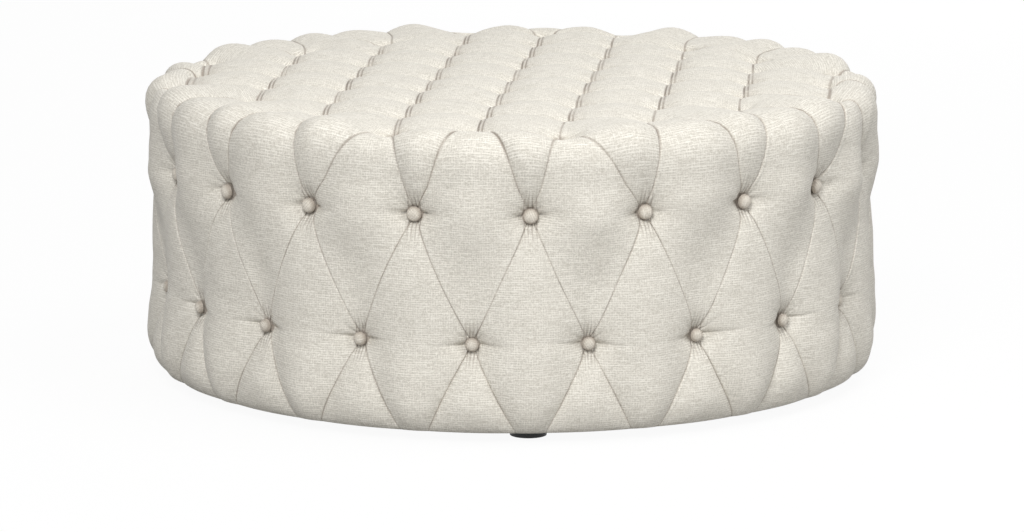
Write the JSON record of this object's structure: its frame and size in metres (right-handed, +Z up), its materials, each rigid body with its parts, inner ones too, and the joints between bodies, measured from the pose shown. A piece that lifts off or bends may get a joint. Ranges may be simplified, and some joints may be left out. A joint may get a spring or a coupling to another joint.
{
  "type": "ottoman coffee table",
  "caption": "Low round ottoman coffee table: a padded timber drum in one button-tufted linen cover with a square grid of pillows on top and diamonds round the side, on small hidden feet",
  "frame": {"origin": "on the floor under the middle of the table", "axes": "+Z up through the middle of the table; rows of the top button grid run along X and Y"},
  "size_m": [1.016, 1.016, 0.419],
  "materials": {
    "linen": "matte plain-weave linen, warm ivory",
    "foam": "open-cell upholstery foam",
    "plywood": "sanded plywood, unfinished",
    "timber": "planed softwood, unfinished",
    "foot_plastic": "moulded, matte black",
    "steel": "zinc plated",
    "twine": "waxed upholstery twine",
    "dust_cloth": "thin black non-woven cloth"
  },
  "bodies": {
    "root": {"base_ring": "plywood", "base_screws": "steel", "deck_rail_1": "timber", "deck_rail_2": "timber", "deck_rail_3": "timber", "deck_rail_4": "timber", "deck_screws": "steel", "dust_cover": "dust_cloth", "feet": "foot_plastic", "foot_screws": "steel", "lower_button_nails": "steel", "lower_side_buttons": "linen", "post_1": "timber", "post_2": "timber", "post_3": "timber", "post_4": "timber", "post_5": "timber", "post_6": "timber", "post_7": "timber", "post_8": "timber", "side_foam": "foam", "top_button_row_1": "linen", "top_button_row_2": "linen", "top_button_row_3": "linen", "top_button_row_4": "linen", "top_button_row_5": "linen", "top_button_row_6": "linen", "top_button_row_7": "linen", "top_button_row_8": "linen", "top_button_row_9": "linen", "top_button_twine": "twine", "top_deck": "plywood", "top_foam": "foam", "tufted_cover": "linen", "twine_staples": "steel", "upper_button_nails": "steel", "upper_side_buttons": "linen", "wall_half_left": "plywood", "wall_half_right": "plywood"}
  },
  "joints": []
}
